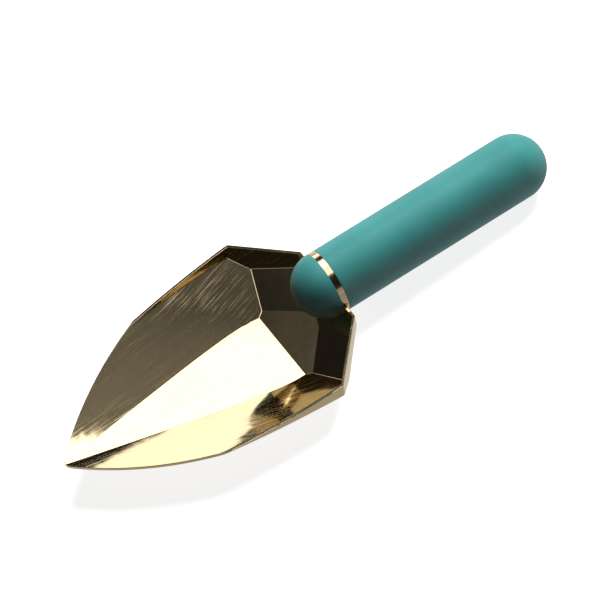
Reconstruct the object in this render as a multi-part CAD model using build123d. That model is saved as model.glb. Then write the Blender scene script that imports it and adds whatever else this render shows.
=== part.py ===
"""Hand trowel: a faceted pressed-sheet scoop brazed to a brass collar, with a capsule-shaped soft-skinned grip.

The scoop is drawn in the frame of its own rim (rim at z = 0, tip towards -X), then tilted into the frame of the
handle (X along the handle's axis, x = 0 at the collar's front face), and the whole tool is laid down as it
rests: on the rear edge of the scoop's floor and on the butt of the grip, with z = 0 the surface it lies on.
"""
from build123d import *
from math import asin, atan, atan2, cos, degrees, hypot, radians, sin, tan
import os

# ---- driving dimensions, mm and degrees --------------------------------------------------------------------

# scoop sheet
SHEET = 1.5            # thickness of the pressed sheet
CREASE_R = 0.6         # inside radius of the creases between facets
EDGE_R = 0.2           # rounding of the two edges of the rim
TIP_R = 5.0            # radius of the tip in plan

# rim, in its own plane: tip, shoulder line and back corners (half widths)
TIP_X = -155.7         # where the two sides of the rim would meet
SHOULDER_X = -25.5     # back end of the long shoulder line
SHOULDER_Y = 54.0      # half width there, the widest place of the tool
SHOULDER_ANGLE = 6.6   # how far the shoulder lines close in towards the tip
SHOULDER_BOW = 1.4     # how far each shoulder line bulges, over its own length
SHOULDER_LENGTH = 74.0
BACK_Y = 25.0          # half width of the straight piece of rim at the handle
BACK_FLARE = 15.0      # lean of the two slanting back walls inside
BACK_DRAFT = 8.0       # and outside: these walls are thicker towards their foot

# lower side facets: a flat stretch, then a bend that tightens downwards and runs out to the tip
SIDE_ANGLE = 16.9      # direction of the flat stretch in plan
SIDE_X = -69.5         # a point of the flat stretch's line at rim height
SIDE_Y = 55.0
SIDE_SLOPE = 27.3      # slope of the flat stretch
SIDE_TURN = 31.28      # how far the bend turns from the flat stretch to the tip
SIDE_SKEW = 1.07       # how far the start of the bend moves back for each mm down
BEND_LOW_R = 4.0       # radius of the bend one sheet below the floor

# floor and the facets that rise from its back edge to the handle
DEPTH = 21.7           # depth of the floor's back edge under the rim
FLOOR_BACK_X = -32.6   # where that edge is
CENTRE_RISE = 20.7     # slope of the centre facet against the floor
LOWER_TURN = 27.7      # direction in plan that the two lower back facets face
LOWER_SLOPE = 62.4     # how far they lie back
LOWER_REACH = 11.95    # distance of their planes from the rim's origin

# how the scoop sits on the handle
RIM_PITCH = 4.6        # the rim rises this much towards the handle
RIM_DROP = 0.8         # the rim's origin lies this far under the handle's axis

# handle
GRIP_D = 34.0          # one diameter for the nose, collar and grip
COLLAR_WIDTH = 3.3     # the brass band that shows
GRIP_LENGTH = 126.8    # from the collar's back face to the end of the butt
SKIN = 3.0             # wall of the soft skin
NOSE_GAP = 0.3         # room between the nose and the scoop
CRADLE_LENGTH = 5.0    # how far in front of the collar the sheet is swaged round it
GRIP_EDGE_R = 0.4      # rounded front edge of the skin

# collar spigots, one each side
SPIGOT_LENGTH = 3.0
NOSE_SPIGOT_D = 26.0
CORE_SPIGOT_D = 23.0
FIT = 0.1              # radial play of a spigot or insert in its seat

# M8 tie rod and what is threaded on it
ROD_D = 8.0
ROD_SHANK_D = 7.1
ROD_CLEARANCE = 0.3
ROD_CHAMFER = 0.6
THREAD_LENGTH = 22.0
WASHER_D = 16.0
WASHER_THICK = 1.6
JAM_NUT_THICK = 4.0
REAR_NUT_THICK = 6.5
NUT_FLATS = 13.0
SPRING_WASHER_D = 14.8
SPRING_WASHER_THICK = 2.0
SPRING_WASHER_SPLIT = 1.5
ROD_OVERRUN = 2.0      # thread showing past the rear nut
END_ROOM = 0.5         # free room in front of the jam nut, and of the rod's end in the insert
NOSE_HOLLOW_D = 18.0
NOSE_INSERT_D = 10.5
NOSE_INSERT_LENGTH = 5.0
INSERT_GROOVE = 0.4    # depth and half width of the insert's two grooves
NUT_POCKET_D = 18.0
POCKET_FROM_END = 23.0  # floor of the nut pocket, measured from the end of the core
PLUG_LENGTH = 7.0

# dowels that stop the grip turning on the collar
DOWEL_D = 3.0
DOWEL_LENGTH = 10.0
DOWEL_CHAMFER = 0.3
DOWEL_CIRCLE_R = 8.3
DOWEL_SEAT = 1.8       # metal left in front of the dowels' blind holes in the collar

# braze at the back of the joint
BRAZE_LEG = 1.2

# ---- construction sizes --------------------------------------------------------------------------------------

FAR = 300.0            # larger than the tool
HEADROOM = 6.0         # how far the bodies stand above the rim before it is cut
BODY_DEPTH = DEPTH + SHEET  # how far they reach below it, plus their own thickness
PAST = 1.0             # how far a cut runs past the faces it goes through
TINY = 0.01
Z_UP = Vector(0, 0, 1)


def mirrored(shape):
    """The same shape on the other side of the tool."""
    return mirror(shape, about=Plane.XZ)


def below(shape, plane):
    """What is left of a shape behind a plane whose normal points away from it."""
    return split(shape, bisect_by=plane, keep=Keep.BOTTOM)


def leaning_plane(point, turn, lean):
    """A plane through a point, facing the direction `turn` in plan and leaning in downwards by `lean`."""
    across = Vector(cos(radians(turn)), sin(radians(turn)), 0)
    return Plane(point, z_dir=across * cos(radians(lean)) - Z_UP * sin(radians(lean)))


# ---- the facets' planes, on the scoop's inner surface --------------------------------------------------------

FLOOR_PITCH = degrees(atan(DEPTH / (FLOOR_BACK_X - TIP_X)))
BACK_TURN = degrees(atan2(-SHOULDER_X, SHOULDER_Y - BACK_Y))

floor_plane = Plane((TIP_X, 0, 0), z_dir=(-sin(radians(FLOOR_PITCH)), 0, -cos(radians(FLOOR_PITCH))))
CENTRE_PITCH = CENTRE_RISE - FLOOR_PITCH
centre_plane = Plane((FLOOR_BACK_X, 0, -DEPTH), z_dir=(sin(radians(CENTRE_PITCH)), 0, -cos(radians(CENTRE_PITCH))))
handle_plane = Plane((0, 0, 0), z_dir=(cos(radians(RIM_PITCH)), 0, -sin(radians(RIM_PITCH))))
back_plane = leaning_plane((SHOULDER_X, SHOULDER_Y, 0), BACK_TURN, BACK_FLARE)
back_outside = leaning_plane((SHOULDER_X, SHOULDER_Y, 0), BACK_TURN, BACK_DRAFT)
lower_plane = leaning_plane((0, 0, 0), LOWER_TURN, LOWER_SLOPE).offset(LOWER_REACH)
facet_planes = [floor_plane, centre_plane, handle_plane]

# ---- the side walls ------------------------------------------------------------------------------------------

side_along = Vector(cos(radians(SIDE_ANGLE)), sin(radians(SIDE_ANGLE)), 0)
side_inward = Vector(sin(radians(SIDE_ANGLE)), -cos(radians(SIDE_ANGLE)), 0)
BEND_TURN = radians(SIDE_TURN)
# The bend's chord leaves the tip half the turn steeper than the flat stretch, and meets it where the bend begins.
CHORD_RISE = tan(radians(SIDE_ANGLE) + BEND_TURN / 2)
SIDE_RISE = tan(radians(SIDE_ANGLE))
SIDE_START_X = (SIDE_Y - SIDE_X * SIDE_RISE + TIP_X * CHORD_RISE) / (CHORD_RISE - SIDE_RISE)
SIDE_START_Y = (SIDE_START_X - TIP_X) * CHORD_RISE
BEND_TOP_R = hypot(SIDE_START_X - TIP_X, SIDE_START_Y) / (2 * sin(BEND_TURN / 2))
BEND_RATE = (BEND_TOP_R - BEND_LOW_R) / (DEPTH + SHEET)


def inward_run(turn):
    """How far the side wall moves inwards for each mm down, `turn` radians into the bend."""
    straight = 1 / tan(radians(SIDE_SLOPE))
    return BEND_RATE - (BEND_RATE - straight) * cos(turn) + SIDE_SKEW * sin(turn)


def side_profile(height, depth, grow_start, grow_tip):
    """All that lies inside one side wall as it is at this depth, grown outwards, as a face at this height.

    The outline is the flat stretch, the bend carried on past the tip, and straight edges far away.
    """
    shift = (grow_tip - grow_start) / (1 - cos(BEND_TURN))
    radius = BEND_TOP_R - BEND_RATE * depth + grow_start + shift
    start = Vector(SIDE_START_X, SIDE_START_Y, 0) + side_along * (SIDE_SKEW * depth)
    start += side_inward * (depth / tan(radians(SIDE_SLOPE)) - grow_start)
    centre = start + side_inward * radius

    def on_bend(turn):
        return centre - side_inward * (radius * cos(turn)) - side_along * (radius * sin(turn))

    turn = 2 * BEND_TURN
    far_back = start + side_along * FAR
    far_front = on_bend(turn) + (side_inward * sin(turn) - side_along * cos(turn)) * FAR
    far_corner = far_back + side_inward * (2 * FAR)
    outline = [
        Line(far_back, start),
        ThreePointArc(start, on_bend(turn / 2), on_bend(turn)),
        Line(on_bend(turn), far_front),
        Line(far_front, far_corner),
        Line(far_corner, far_back),
    ]
    return Pos(0, 0, height) * Face(Wire(outline))


def side_body(thickness):
    """Everything inside one side wall: its inner face, moved outwards by a thickness."""
    grow_start = thickness * hypot(1, inward_run(0))
    grow_tip = thickness * hypot(1, inward_run(BEND_TURN))
    depth = BODY_DEPTH + thickness
    top = side_profile(HEADROOM, -HEADROOM, grow_start, grow_tip)
    bottom = side_profile(-depth, depth, grow_start, grow_tip)
    return loft([bottom, top], ruled=True)


def edge_trim():
    """Everything inside the edge of the sheet where the rim runs along a side wall.

    The sheet is cut square there, so this wall spreads outwards as it goes down from the rim's inner line.
    """
    top = side_profile(0, 0, 0, 0)
    depth = BODY_DEPTH + SHEET
    bottom = side_profile(-depth, 0, depth / inward_run(0), depth / inward_run(BEND_TURN))
    return loft([bottom, top], ruled=True)


def shoulder_body(thickness):
    """Everything inside one upright shoulder band, a very shallow arc in plan."""
    along = Vector(cos(radians(SHOULDER_ANGLE)), sin(radians(SHOULDER_ANGLE)), 0)
    outward = Vector(-sin(radians(SHOULDER_ANGLE)), cos(radians(SHOULDER_ANGLE)), 0)
    radius = SHOULDER_LENGTH**2 / (8 * SHOULDER_BOW)
    middle = Vector(SHOULDER_X, SHOULDER_Y, 0) - along * (SHOULDER_LENGTH / 2)
    centre = middle - outward * (radius - SHOULDER_BOW)
    return Pos(centre) * Cylinder(radius + thickness, 2 * (BODY_DEPTH + SHEET))


def scoop_body(thickness):
    """The scoop filled solid to above its rim, creases rounded: its hollow, or its outside with a thickness."""
    depth = BODY_DEPTH + thickness
    body = Pos(0, 0, (HEADROOM - depth) / 2) * Box(2 * FAR, FAR, HEADROOM + depth)
    for wall in (shoulder_body(thickness), side_body(thickness)):
        body = body & wall & mirrored(wall)
    for plane in facet_planes:
        body = below(body, plane.offset(thickness))
    for plane in (back_outside if thickness else back_plane, lower_plane):
        cut = below(body, plane.offset(thickness))
        body = mirrored(below(mirrored(cut), plane.offset(thickness)))
    body = body.solid()
    creases = [edge for edge in body.edges() if edge.center().Z < HEADROOM - TINY]
    return fillet(creases, CREASE_R + thickness)


def sheet_edge():
    """Everything inside the square-cut edge of the sheet at both sides, with the rounded tip."""
    wall = edge_trim()
    both = (wall & mirrored(wall)).solid()
    tip = both.edges().filter_by_position(Axis.Y, -TINY, TINY).sort_by(Axis.X)[0]
    return fillet(tip, TIP_R)


def pressed_sheet():
    """The sheet alone, in the frame of its rim, with the edges of its cut face rounded."""
    cutter = sheet_edge()
    sheet = ((scoop_body(SHEET) & cutter) - scoop_body(0)).solid()
    skin = cutter.shell()
    cut_faces = [face for face in sheet.faces() if skin.distance_to(face.center()) < TINY]
    borders = [edge for face in cut_faces for edge in face.edges()]
    return fillet([edge for edge in borders if borders.count(edge) == 1], EDGE_R)


# ---- from the scoop's rim to the handle, and from the handle to the tool at rest -----------------------------

to_handle = Pos(0, 0, -RIM_DROP) * Rot(0, -RIM_PITCH, 0)
GRIP_R = GRIP_D / 2
BUTT_X = COLLAR_WIDTH + GRIP_LENGTH
BUTT_CENTRE_X = BUTT_X - GRIP_R


def along_handle(radius, start, end):
    """A plain round bar on the handle's axis."""
    return Pos(start, 0, 0) * Rot(0, 90, 0) * Cylinder(
        radius, end - start, align=(Align.CENTER, Align.CENTER, Align.MIN)
    )


def chamfered_bar(radius, start, end, chamfer_size):
    """A round bar on the handle's axis with both ends chamfered."""
    bar = along_handle(radius, start, end)
    return chamfer(bar.edges().filter_by(GeomType.CIRCLE), chamfer_size)


def ring(outer, inner, start, end):
    """A round ring on the handle's axis."""
    return along_handle(outer, start, end) - along_handle(inner, start - PAST, end + PAST)


def capsule(radius, start):
    """A bar from `start` to the butt with a round end whose centre is the butt's."""
    return along_handle(radius, start, BUTT_CENTRE_X) + Pos(BUTT_CENTRE_X, 0, 0) * Sphere(radius)


def hexagon_nut(start, thickness):
    """A nut on the rod, its corners turned down on both faces."""
    corner_r = NUT_FLATS / 2 / cos(radians(30))
    hexagon = Pos(start, 0, 0) * Rot(0, 90, 0) * extrude(RegularPolygon(corner_r, 6), thickness)
    turned = chamfered_bar(corner_r, start, start + thickness, corner_r - NUT_FLATS / 2)
    return (hexagon & turned) - along_handle(ROD_D / 2, start - PAST, start + thickness + PAST)


# ---- pieces, each in the frame of the handle -----------------------------------------------------------------

NOSE_HOLLOW_END = SPIGOT_LENGTH + WASHER_THICK + JAM_NUT_THICK + END_ROOM
NOSE_INSERT_END = NOSE_HOLLOW_END + NOSE_INSERT_LENGTH
ROD_FRONT = -(NOSE_INSERT_END - END_ROOM)
CORE_R = GRIP_R - SKIN
CORE_END = BUTT_CENTRE_X + CORE_R
POCKET_START = CORE_END - POCKET_FROM_END
REAR_STACK = POCKET_START + WASHER_THICK + SPRING_WASHER_THICK
ROD_END = REAR_STACK + REAR_NUT_THICK + ROD_OVERRUN


def make_scoop():
    """Pressed sheet, creased into eleven facets, cut square at its edge and swaged round the collar."""
    hollow = to_handle * scoop_body(0)
    below_rim = to_handle * Pos(0, 0, -FAR / 2) * Box(FAR, FAR, FAR)
    cradle = along_handle(GRIP_R + SHEET, -CRADLE_LENGTH, SHEET) & below_rim
    nose_room = Sphere(GRIP_R + NOSE_GAP) & Pos(-FAR / 2, 0, 0) * Box(FAR, FAR, FAR)
    collar_seat = along_handle(GRIP_R, -TINY, COLLAR_WIDTH)
    return (to_handle * pressed_sheet() + (cradle - hollow)) - nose_room - collar_seat


def make_braze():
    """The bead of braze in the corner between the sheet and the collar, all round the seat."""
    section = Polyline(
        (SHEET, GRIP_R), (SHEET, GRIP_R + BRAZE_LEG), (SHEET + BRAZE_LEG, GRIP_R), close=True
    )
    bead = revolve(Face(Wire(section.edges())), Axis.X, 360)
    return bead & (to_handle * Pos(0, 0, -FAR / 2) * Box(FAR, FAR, FAR))


def dowel_places():
    """The two dowels lie level with the handle's axis, one each side."""
    return [Pos(0, side * DOWEL_CIRCLE_R, 0) for side in (-1, 1)]


def make_collar():
    """Turned brass disc with a spigot each side, bored for the rod, with blind holes for the dowels."""
    collar = along_handle(GRIP_R, 0, COLLAR_WIDTH)
    collar += along_handle(NOSE_SPIGOT_D / 2, -SPIGOT_LENGTH, 0)
    collar += along_handle(CORE_SPIGOT_D / 2, COLLAR_WIDTH, COLLAR_WIDTH + SPIGOT_LENGTH)
    collar -= along_handle(ROD_D / 2 + ROD_CLEARANCE, -FAR, FAR)
    for place in dowel_places():
        collar -= place * along_handle(DOWEL_D / 2, DOWEL_SEAT, FAR)
    return collar


def make_dowels():
    """Two steel dowels from the collar's blind holes into the grip's core."""
    dowel = chamfered_bar(DOWEL_D / 2, DOWEL_SEAT, DOWEL_SEAT + DOWEL_LENGTH, DOWEL_CHAMFER)
    return Compound([(place * dowel).solid() for place in dowel_places()])


def make_nose_cap():
    """Moulded hemisphere, seated on the collar's front spigot and hollow over the jam nut."""
    nose = Sphere(GRIP_R) & Pos(-FAR / 2, 0, 0) * Box(FAR, FAR, FAR)
    nose -= along_handle(NOSE_SPIGOT_D / 2 + FIT, -SPIGOT_LENGTH - FIT, PAST)
    nose -= along_handle(NOSE_HOLLOW_D / 2, -NOSE_HOLLOW_END, 0)
    return nose - along_handle(NOSE_INSERT_D / 2, -NOSE_INSERT_END - FIT, 0)


def make_nose_insert():
    """Brass thread insert in the nose, with two grooves round it that grip the moulding."""
    insert = ring(NOSE_INSERT_D / 2, ROD_D / 2, -NOSE_INSERT_END, -NOSE_HOLLOW_END)
    for share in (1, 2):
        middle = -NOSE_HOLLOW_END - NOSE_INSERT_LENGTH * share / 3
        insert -= ring(
            NOSE_INSERT_D, NOSE_INSERT_D / 2 - INSERT_GROOVE, middle - INSERT_GROOVE, middle + INSERT_GROOVE
        )
    return insert


def make_tie_rod():
    """Stud that holds nose, collar and grip together: a thin shank and a thread at each end."""
    rod = along_handle(ROD_SHANK_D / 2, ROD_FRONT + ROD_CHAMFER, ROD_END - ROD_CHAMFER)
    rod += chamfered_bar(ROD_D / 2, ROD_FRONT, ROD_FRONT + THREAD_LENGTH, ROD_CHAMFER)
    return rod + chamfered_bar(ROD_D / 2, ROD_END - THREAD_LENGTH, ROD_END, ROD_CHAMFER)


def make_spring_washer():
    """Split ring under the rear nut."""
    start = POCKET_START + WASHER_THICK
    washer = ring(SPRING_WASHER_D / 2, ROD_D / 2 + ROD_CLEARANCE, start, start + SPRING_WASHER_THICK)
    return washer - Pos(start, 0, FAR / 2) * Box(FAR, SPRING_WASHER_SPLIT, FAR)


def make_grip_core():
    """Turned hardwood core: seat for the collar's spigot, bore, dowel holes and a nut pocket at the butt."""
    core = capsule(CORE_R, COLLAR_WIDTH)
    core -= along_handle(CORE_SPIGOT_D / 2 + FIT, 0, COLLAR_WIDTH + SPIGOT_LENGTH + FIT)
    core -= along_handle(ROD_D / 2 + ROD_CLEARANCE, 0, BUTT_X)
    core -= along_handle(NUT_POCKET_D / 2, POCKET_START, BUTT_X)
    for place in dowel_places():
        core -= place * along_handle(DOWEL_D / 2, 0, DOWEL_SEAT + DOWEL_LENGTH + FIT)
    return core


def make_core_plug():
    """Plug glued into the mouth of the nut pocket and turned round with the core's butt."""
    return along_handle(NUT_POCKET_D / 2, CORE_END - PLUG_LENGTH, BUTT_X) & capsule(CORE_R, COLLAR_WIDTH)


def make_grip_skin():
    """Soft-touch skin over the core and round the butt, its front edge eased where it meets the collar."""
    skin = capsule(GRIP_R, COLLAR_WIDTH)
    front = skin.edges().filter_by(GeomType.CIRCLE).sort_by(Axis.X)[0]
    return fillet(front, GRIP_EDGE_R) - capsule(CORE_R, COLLAR_WIDTH)


pieces = {
    "scoop": make_scoop(),
    "braze_bead": make_braze(),
    "collar": make_collar(),
    "collar_dowels": make_dowels(),
    "nose_cap": make_nose_cap(),
    "nose_insert": make_nose_insert(),
    "front_washer": ring(
        WASHER_D / 2, ROD_D / 2 + ROD_CLEARANCE, -SPIGOT_LENGTH - WASHER_THICK, -SPIGOT_LENGTH
    ),
    "jam_nut": hexagon_nut(-SPIGOT_LENGTH - WASHER_THICK - JAM_NUT_THICK, JAM_NUT_THICK),
    "tie_rod": make_tie_rod(),
    "grip_core": make_grip_core(),
    "rear_washer": ring(
        WASHER_D / 2, ROD_D / 2 + ROD_CLEARANCE, POCKET_START, POCKET_START + WASHER_THICK
    ),
    "spring_washer": make_spring_washer(),
    "rear_nut": hexagon_nut(REAR_STACK, REAR_NUT_THICK),
    "core_plug": make_core_plug(),
    "grip_skin": make_grip_skin(),
}

# ---- laid down as it rests -----------------------------------------------------------------------------------

# The tool touches its surface at the outside of the floor's back edge and at the butt. The handle is turned
# about Y until those two are level, then the middle of the tool's box goes over the origin.
floor_corner = to_handle * Pos(FLOOR_BACK_X, 0, -DEPTH)
heel = floor_corner.position
reach = BUTT_CENTRE_X - heel.X
heel_drop = -heel.Z + SHEET
rest_pitch = degrees(atan2(heel_drop, reach) - asin(GRIP_R / hypot(reach, heel_drop)))
laid = {name: Rot(0, rest_pitch, 0) * piece for name, piece in pieces.items()}
box = Compound(list(laid.values())).bounding_box()
to_origin = Pos(-box.center().X, -box.center().Y, -box.min.Z)

os.makedirs("parts", exist_ok=True)
for name, piece in laid.items():
    export_step(to_origin * piece, f"parts/{name}.step")
print(f"rest pitch {rest_pitch:.3f} deg, box {box.size}")
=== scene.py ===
# %% [markdown]
# # A hand trowel in polished brass and soft teal
# This lesson dresses a garden trowel: a scoop pressed from brass sheet into flat facets, a turned brass collar,
# and a round grip with a soft skin. The shapes come from a CAD model that is already the right size and has its
# creases and edges rounded, so the work here is the finishes and the studio. We start by loading that model.

# %% The CAD model as a fixed frame
from math import cos, radians, sin

import bmesh
import bpy
from mathutils import Matrix, Vector

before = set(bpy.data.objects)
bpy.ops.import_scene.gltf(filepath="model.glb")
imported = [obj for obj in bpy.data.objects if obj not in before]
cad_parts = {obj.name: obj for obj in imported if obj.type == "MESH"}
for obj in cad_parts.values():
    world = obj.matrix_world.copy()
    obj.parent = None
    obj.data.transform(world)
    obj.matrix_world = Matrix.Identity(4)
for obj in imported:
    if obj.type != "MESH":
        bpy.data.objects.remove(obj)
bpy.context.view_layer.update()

MM = 0.001

# %% [markdown]
# ## Where the camera stands
# A tool like this is shown from above one side, so that one look takes in the hollow of the scoop and the
# length of the grip. We could drag a camera into place, but a place in numbers can be made again. We say where
# the camera looks, how far away it is and from which side, and the code works out where it stands. The roll
# leans the picture over, which puts the grip on the diagonal.

# %% The camera
TARGET = Vector((-1.39, 3.65, 20.0)) * MM
DISTANCE = 1269.1 * MM
AZIMUTH = radians(-13.55)
ELEVATION = radians(52.79)
ROLL = radians(23.18)
LENS = 154.43
SENSOR = 36.0

back = Vector((sin(AZIMUTH) * cos(ELEVATION), -cos(AZIMUTH) * cos(ELEVATION), sin(ELEVATION)))
camera_data = bpy.data.cameras.new("camera")
camera_data.lens = LENS
camera_data.sensor_width = SENSOR
camera_data.clip_start = 0.05
camera_data.clip_end = 50.0
camera = bpy.data.objects.new("camera", camera_data)
level = (-back).to_track_quat("-Z", "Y").to_matrix().to_4x4()
camera.matrix_world = Matrix.Translation(TARGET + back * DISTANCE) @ level @ Matrix.Rotation(-ROLL, 4, "Z")
bpy.context.scene.collection.objects.link(camera)
bpy.context.scene.camera = camera
print("camera at, mm:", [round(c / MM, 1) for c in camera.matrix_world.translation])

# %% [markdown]
# ## Writing shaders as sums
# A procedural finish is mostly arithmetic on patterns. Wiring Math nodes by hand hides that arithmetic, so one
# small class wraps a socket: adding or multiplying two wires in Python adds the Math node that does it.

# %% A wire that does sums


def plug(socket, value):
    """Links a wire to a socket, or sets the socket's own value."""
    if isinstance(value, Wire):
        socket.id_data.links.new(value.socket, socket)
    else:
        socket.default_value = value


class Wire:
    """An output socket on which Python's operators add Math nodes."""

    def __init__(self, socket):
        self.socket = socket

    def math(self, operation, *terms, clamp=False):
        node = self.socket.id_data.nodes.new("ShaderNodeMath")
        node.operation = operation
        node.use_clamp = clamp
        for socket, term in zip(node.inputs, terms):
            plug(socket, term)
        return Wire(node.outputs[0])

    def __add__(self, other):
        return self.math("ADD", self, other)

    def __sub__(self, other):
        return self.math("SUBTRACT", self, other)

    def __rsub__(self, other):
        return self.math("SUBTRACT", other, self)

    def __mul__(self, other):
        return self.math("MULTIPLY", self, other)

    __radd__ = __add__
    __rmul__ = __mul__

    def ramp(self, start, end):
        """0 below start and 1 above end, with a soft step between; start may be the larger."""
        step = self.math("DIVIDE", self - start, end - start, clamp=True)
        return step * step * (3.0 - 2.0 * step)

# %% [markdown]
# ## One class for a finish
# A finish is a material whose nodes all come from one method, which takes a node's type, its settings and what
# goes into it. The patterns that the brass, the skin and the wood share are short methods built on that one, so
# each finish below reads as a list of what the real surface has.

# %% A finish


class Finish:
    """A material, with one method that adds any node to it."""

    def __init__(self, name):
        self.material = bpy.data.materials.new(name)
        self.material.use_nodes = True
        self.tree = self.material.node_tree
        self.tree.nodes.clear()
        self.coords = self.add("ShaderNodeTexCoord", output="Object")

    def add(self, kind, settings=None, inputs=None, output=0):
        """A new node; its settings come first because they decide which sockets it has."""
        node = self.tree.nodes.new(kind)
        for key, value in (settings or {}).items():
            setattr(node, key, value)
        for key, value in (inputs or {}).items():
            plug(node.inputs[key], value)
        return Wire(node.outputs[output])

    def stretched(self, scale, turn=(0, 0, 0)):
        """Object coordinates turned and then scaled, in cycles for each metre."""
        turned = self.add("ShaderNodeMapping", {"vector_type": "POINT"},
                          {"Vector": self.coords, "Rotation": turn})
        return self.add("ShaderNodeVectorMath", {"operation": "MULTIPLY"}, {0: turned, 1: scale})

    def noise(self, scale, detail=2.0, roughness=0.5, turn=(0, 0, 0)):
        """Smooth noise whose grain may be longer in one direction than another."""
        if isinstance(scale, (int, float)):
            scale = (scale, scale, scale)
        inputs = {"Vector": self.stretched(scale, turn), "Scale": 1.0, "Detail": detail, "Roughness": roughness}
        return self.add("ShaderNodeTexNoise", {}, inputs)

    def dot(self, vector, way):
        """How far a vector reaches along a direction."""
        return self.add("ShaderNodeVectorMath", {"operation": "DOT_PRODUCT"}, {0: vector, 1: way},
                        output="Value")

    def split(self, vector):
        """The X, Y and Z of a vector as three wires."""
        node = self.tree.nodes.new("ShaderNodeSeparateXYZ")
        plug(node.inputs[0], vector)
        return [Wire(socket) for socket in node.outputs]

    def mix(self, factor, first, second):
        """One colour turning into another."""
        node = self.tree.nodes.new("ShaderNodeMix")
        node.data_type = "RGBA"
        for name, value in (("Factor_Float", factor), ("A_Color", first), ("B_Color", second)):
            plug(next(s for s in node.inputs if s.identifier == name), value)
        return Wire(next(s for s in node.outputs if s.identifier == "Result_Color"))

    def bump(self, height, distance, normal=None):
        """A normal from a height of 0 to 1 that stands for this many metres."""
        inputs = {"Height": height, "Distance": distance, "Strength": 1.0}
        if normal:
            inputs["Normal"] = normal
        return self.add("ShaderNodeBump", {}, inputs)

    def ends_in(self, shader):
        """Links the last shader to the output and gives the finished material."""
        output = self.tree.nodes.new("ShaderNodeOutputMaterial")
        plug(output.inputs["Surface"], shader)
        return self.material

    def surface(self, **inputs):
        """The Principled shader and the output; words in a name are joined by underscores."""
        named = {key.replace("_", " "): value for key, value in inputs.items()}
        return self.ends_in(self.add("ShaderNodeBsdfPrincipled", {}, named))

    def glow(self, colour, strength):
        """A surface that only gives off light, and isn't sampled as a lamp."""
        self.material.cycles.emission_sampling = "NONE"
        return self.ends_in(self.add("ShaderNodeEmission", {}, {"Color": colour, "Strength": strength}))


def rgb(red, green, blue):
    """An opaque colour, as light rather than as a screen value."""
    return (red, green, blue, 1.0)


# %% [markdown]
# ## Polished brass
# The sheet was brushed along the tool before it was polished, so fine lines that run towards the tip cross its
# mirror. A picture of scratches would do it too, but it would need an unwrapped map. A line has to lie in the
# facet that it was brushed on, so the pattern is flat noise on two directions of each facet: one along the tool
# and one across it, both worked out from the facet's own normal. The brushed lines are a little rougher than the
# polish between them and scatter the light of the windows, which shows most where the mirror is dark. The polish
# is uneven as well: two slow noises bend the reflections by a fraction of a degree.

# %% The scoop's finish
BRIGHT_BRASS = rgb(0.92, 0.745, 0.45)
WORN_BRASS = rgb(0.84, 0.66, 0.39)
BRUSHED_ALONG = 35.0  # cycles in a metre along a brushed line
BRUSHED_ACROSS = 1800.0  # and across the lines
BROAD_ALONG = 18.0
BROAD_ACROSS = 160.0
TURN_TO_TIP = 0.694  # how strongly the lines of a leaning facet turn towards the middle
LINE_DEPTH = 0.002 * MM
WAVE_HEIGHT = 0.15 * MM
POLISH = 0.03  # roughness of the polish between the lines


def polished_brass():
    finish = Finish("polished brushed brass")
    facing = finish.add("ShaderNodeTexCoord", output="Normal")
    lean = finish.split(facing)[1]
    lengthwise = finish.add("ShaderNodeCombineXYZ", {}, {"X": 1.0, "Y": lean * -TURN_TO_TIP})
    crosswise = finish.add("ShaderNodeVectorMath", {"operation": "CROSS_PRODUCT"}, {0: facing, 1: lengthwise})

    def strokes(along, across, detail):
        place = finish.add("ShaderNodeCombineXYZ", {}, {"X": finish.dot(finish.coords, lengthwise) * along,
                                                        "Y": finish.dot(finish.coords, crosswise) * across})
        return finish.add("ShaderNodeTexNoise", {"noise_dimensions": "2D"},
                          {"Vector": place, "Scale": 1.0, "Detail": detail})

    brushed = strokes(BRUSHED_ALONG, BRUSHED_ACROSS, 2.0)
    broad = strokes(BROAD_ALONG, BROAD_ACROSS, 2.0)
    waves = finish.noise(22.0, detail=1.0)
    dents = finish.noise(60.0, detail=2.0)
    smudges = finish.noise(35.0, detail=4.0, roughness=0.6)
    worn = brushed.ramp(0.3, 0.7) * 0.5 + broad.ramp(0.4, 0.7) * 0.3
    colour = finish.mix(worn, BRIGHT_BRASS, WORN_BRASS)
    bumped = finish.bump(brushed, LINE_DEPTH, finish.bump(waves + dents * 0.5, WAVE_HEIGHT))
    roughness = POLISH + brushed.ramp(0.45, 0.75) * 0.12 + smudges.ramp(0.45, 0.8) * 0.02
    return finish.surface(Base_Color=colour, Metallic=1.0, Roughness=roughness, Normal=bumped)


looks = {"scoop": polished_brass()}
print("scoop:", looks["scoop"].name, "with", len(looks["scoop"].node_tree.nodes), "nodes")

# %% [markdown]
# ## Turned brass
# The collar, the thread insert and the bead of braze are brass too, but a lathe leaves its lines round the
# handle's axis. Noise that is stretched in the two directions square to the axis is a stack of thin discs, so it
# draws rings wherever it meets the surface. The handle isn't level at rest, so the noise is turned by its fall.

# %% Lathe lines
TURNED_BRASS = rgb(0.90, 0.70, 0.43)
HANDLE_FALL = radians(3.78)
RINGS = (2600.0, 60.0, 60.0)  # cycles in a metre along the axis and across it


def turned_brass(name, roughness):
    finish = Finish(name)
    lines = finish.noise(RINGS, detail=2.0, turn=(0, HANDLE_FALL, 0))
    bumped = finish.bump(lines, 0.006 * MM)
    return finish.surface(Base_Color=TURNED_BRASS, Metallic=1.0, Roughness=roughness + lines * 0.08,
                          Normal=bumped)


looks["collar"] = turned_brass("turned collar brass", 0.12)
looks["nose_insert"] = turned_brass("insert brass", 0.25)
looks["braze_bead"] = turned_brass("braze", 0.3)
print("brass pieces:", sorted(looks))

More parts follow.
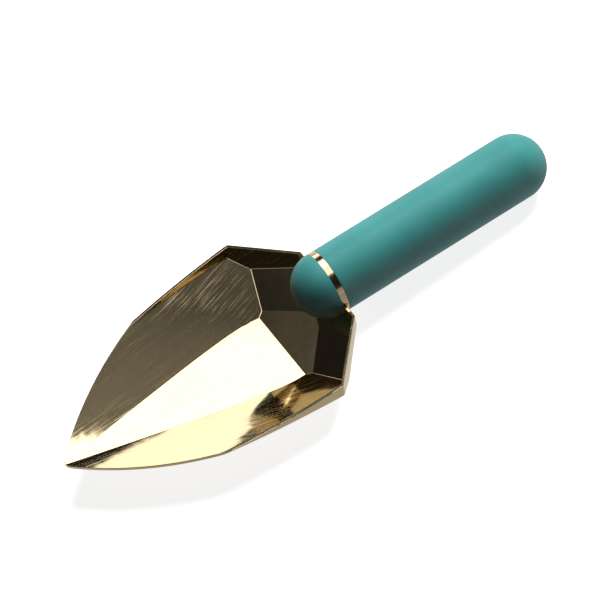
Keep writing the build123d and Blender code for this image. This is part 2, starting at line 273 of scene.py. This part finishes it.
# %% [markdown]
# ## Soft teal
# The nose and the grip are soft-touch: a matt rubbery skin whose grain is too fine to see one by one, but which
# spreads every highlight into a broad sheen. A bump of a hundredth of a millimetre does that, and a slow cloud
# keeps the colour and the sheen from being the same all over, as on a skin that has been held.

# %% The skin's finish
TEAL = rgb(0.024, 0.122, 0.118)
HANDLED = 0.88  # how much darker the teal is where it has been handled
GRAIN_DEPTH = 0.015 * MM


def soft_touch(name):
    finish = Finish(name)
    grain = finish.noise(3500.0, detail=2.0)
    cloud = finish.noise(30.0, detail=3.0)
    handled = rgb(*(channel * HANDLED for channel in TEAL[:3]))
    colour = finish.mix(cloud.ramp(0.35, 0.7), TEAL, handled)
    bumped = finish.bump(grain, GRAIN_DEPTH)
    return finish.surface(Base_Color=colour, Roughness=0.42 + cloud * 0.08, Normal=bumped, IOR=1.5)


looks["nose_cap"] = soft_touch("moulded teal")
looks["grip_skin"] = soft_touch("soft teal skin")
print("teal pieces:", looks["nose_cap"].name, "and", looks["grip_skin"].name)

# %% [markdown]
# ## What is inside
# Nobody sees the rod, its nuts and washers, the dowels or the wooden core, unless the tool is taken apart. They
# still get a finish of their own, because a part library keeps every piece. The steel is turned, with fine
# lines round it. The core is beech cut along its grain, so its fibres run with the handle.

# %% Steel and beech
STEEL = rgb(0.56, 0.57, 0.58)
PALE_BEECH = rgb(0.62, 0.42, 0.24)
DARK_BEECH = rgb(0.42, 0.25, 0.12)


def turned_steel():
    finish = Finish("plain steel")
    lines = finish.noise((900.0, 200.0, 200.0), detail=3.0)
    bumped = finish.bump(lines, 0.01 * MM)
    return finish.surface(Base_Color=STEEL, Metallic=1.0, Roughness=0.25 + lines * 0.15, Normal=bumped)


def beech(name):
    finish = Finish(name)
    fibres = finish.noise((40.0, 900.0, 900.0), detail=4.0)
    colour = finish.mix(fibres.ramp(0.3, 0.7), PALE_BEECH, DARK_BEECH)
    bumped = finish.bump(fibres, 0.05 * MM)
    return finish.surface(Base_Color=colour, Roughness=0.6, Normal=bumped)


looks["grip_core"] = beech("turned beech")
looks["core_plug"] = beech("beech plug")
steel = turned_steel()
for name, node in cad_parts.items():
    for place in node.material_slots:
        place.material = looks.get(name, steel)
    print(name, "->", looks.get(name, steel).name)

# %% [markdown]
# ## The studio's table and wall
# Matt things are shaped by where the light comes from; polished metal shows what stands round it. So the studio
# has two parts: a pale table, a pale wall and a soft lamp that light the skin, and a tent that only the mirrors
# see. The table glows a little, which keeps it near white and leaves only a faint shadow. The wall is a ball
# round everything, so the background stays pale from low down as well, and only the camera sees it. Neither is
# part of the object, so both are staged.

# %% Table and wall
TABLE_RADIUS = 4.0
WALL_RADIUS = 3.9


def staged(name, make_mesh, material):
    """A piece of the studio, shaped by one function that fills an empty bmesh."""
    mesh = bpy.data.meshes.new(name)
    bm = bmesh.new()
    make_mesh(bm)
    bm.to_mesh(mesh)
    bm.free()
    mesh.materials.append(material)
    thing = bpy.data.objects.new(name, mesh)
    bpy.context.scene.collection.objects.link(thing)
    print(name, "faces:", len(mesh.polygons))
    return thing


def pale_table():
    finish = Finish("pale table")
    return finish.surface(Base_Color=rgb(0.30, 0.30, 0.30), Roughness=1.0, Specular_IOR_Level=0.0,
                          Emission_Color=rgb(1, 1, 1), Emission_Strength=0.85)


def table_top(bm):
    bmesh.ops.create_circle(bm, cap_ends=True, segments=96, radius=TABLE_RADIUS)


def ball(radius, subdivisions):
    def fill(bm):
        bmesh.ops.create_icosphere(bm, subdivisions=subdivisions, radius=radius)
    return fill


table = staged("table", table_top, pale_table())
table.visible_glossy = False

wall = staged("wall", ball(WALL_RADIUS, 4), Finish("pale wall").glow(rgb(1, 1, 1), 0.9))
wall.visible_glossy = False
wall.visible_diffuse = False
wall.visible_shadow = False
wall.visible_transmission = False

# %% [markdown]
# ## A tent for the mirrors
# Polished metal is often shown inside a tent of white cloth with dark gaps, because a facet is only as bright as
# what it faces. Here the tent is a ball that shows in mirrors alone. Each window in it lights a facet, the
# collar, or a side that the first view doesn't show, and the cloth between them is nearly black, but lighter
# overhead and below. A window's edges are two angles measured from its middle, which keeps them straight, where
# a distance from its middle would make it round.

# %% Windows
TENT_RADIUS = 3.5


def direction(azimuth, elevation):
    """Azimuth 0 is straight at the -Y side, 90 at the +X side; both angles in degrees."""
    a = radians(azimuth)
    e = radians(elevation)
    return Vector((sin(a) * cos(e), -cos(a) * cos(e), sin(e)))


def window(finish, pointing, azimuth, elevation, half_width, half_height, soft):
    """A soft-edged window in the tent, 1 inside it and 0 outside; sizes in degrees."""
    middle = direction(azimuth, elevation)
    across = direction(azimuth + 90, 0)
    upwards = middle.cross(across)
    if upwards.z < 0:
        upwards = -upwards
    ahead = finish.dot(pointing, tuple(middle))
    sideways = ahead.math("ARCTAN2", finish.dot(pointing, tuple(across)), ahead)
    up = ahead.math("ARCTAN2", finish.dot(pointing, tuple(upwards)), ahead)
    inside_width = sideways.math("ABSOLUTE", sideways).ramp(radians(half_width + soft), radians(half_width))
    inside_height = up.math("ABSOLUTE", up).ramp(radians(half_height + soft), radians(half_height))
    return inside_width * inside_height


# %% The cloth and its windows


def tent_cloth():
    finish = Finish("tent")
    pointing = finish.add("ShaderNodeVectorMath", {"operation": "NORMALIZE"}, {0: finish.coords})
    y, z = finish.split(pointing)[1:]
    over_the_back = window(finish, pointing, 145.5, 58.5, 9.3, 13, soft=1)
    low_behind = window(finish, pointing, 163, 14.5, 20, 9.3, soft=1)
    roof = window(finish, pointing, 95, 85, 20, 11, soft=1.5)
    front = window(finish, pointing, 30, 6, 20, 8, soft=3)
    left_side = window(finish, pointing, -92, 26, 12, 8, soft=4)
    right_side = window(finish, pointing, 95, 24, 20, 12, soft=6)
    cloth = 0.012 + z.ramp(0.72, 1.0) * (0.15 + y * 0.30)
    below = (0.0 - z).ramp(0.0, 0.05) * (0.50 + y * 0.25)
    light = (cloth + over_the_back * 2.2 + low_behind * 1.45 + roof * 1.8 + front * 0.3
             + left_side * 0.5 + right_side * 0.6 + below)
    grey = finish.add("ShaderNodeCombineXYZ", {}, {"X": light, "Y": light, "Z": light})
    return finish.glow(grey, 1.0)


tent = staged("tent", ball(TENT_RADIUS, 5), tent_cloth())
tent.visible_camera = False
tent.visible_diffuse = False
tent.visible_shadow = False
tent.visible_transmission = False

# %% [markdown]
# ## Lamp and room
# One large round lamp stands to the right and behind, which lights the grip's upper side and lets its lower side
# fall off slowly. Mirrors don't see it, because the tent has its own windows. A dim white room fills the shadows.
# The Standard view keeps whites white; a filmic one would grey the table.

# %% Key lamp
LAMP_AZIMUTH = 122
LAMP_ELEVATION = 50
LAMP_DISTANCE = 1.8
LAMP_SIZE = 1.3
LAMP_WATTS = 130.0
ROOM_LIGHT = 0.05

lamp_data = bpy.data.lights.new("key lamp", "AREA")
lamp_data.shape = "DISK"
lamp_data.size = LAMP_SIZE
lamp_data.energy = LAMP_WATTS
lamp = bpy.data.objects.new("key lamp", lamp_data)
towards = direction(LAMP_AZIMUTH, LAMP_ELEVATION)
facing_tool = towards.to_track_quat("Z", "Y").to_matrix().to_4x4()
lamp.matrix_world = Matrix.Translation(towards * LAMP_DISTANCE) @ facing_tool
lamp.visible_glossy = False
lamp.visible_camera = False
bpy.context.scene.collection.objects.link(lamp)
print("lamp at, m:", [round(c, 2) for c in lamp.matrix_world.translation])

# %% Room
room = bpy.data.worlds.new("room")
room.use_nodes = True
background = room.node_tree.nodes["Background"]
background.inputs["Color"].default_value = rgb(1, 1, 1)
background.inputs["Strength"].default_value = ROOM_LIGHT
bpy.context.scene.world = room
bpy.context.scene.view_settings.view_transform = "Standard"
print("room light:", ROOM_LIGHT)
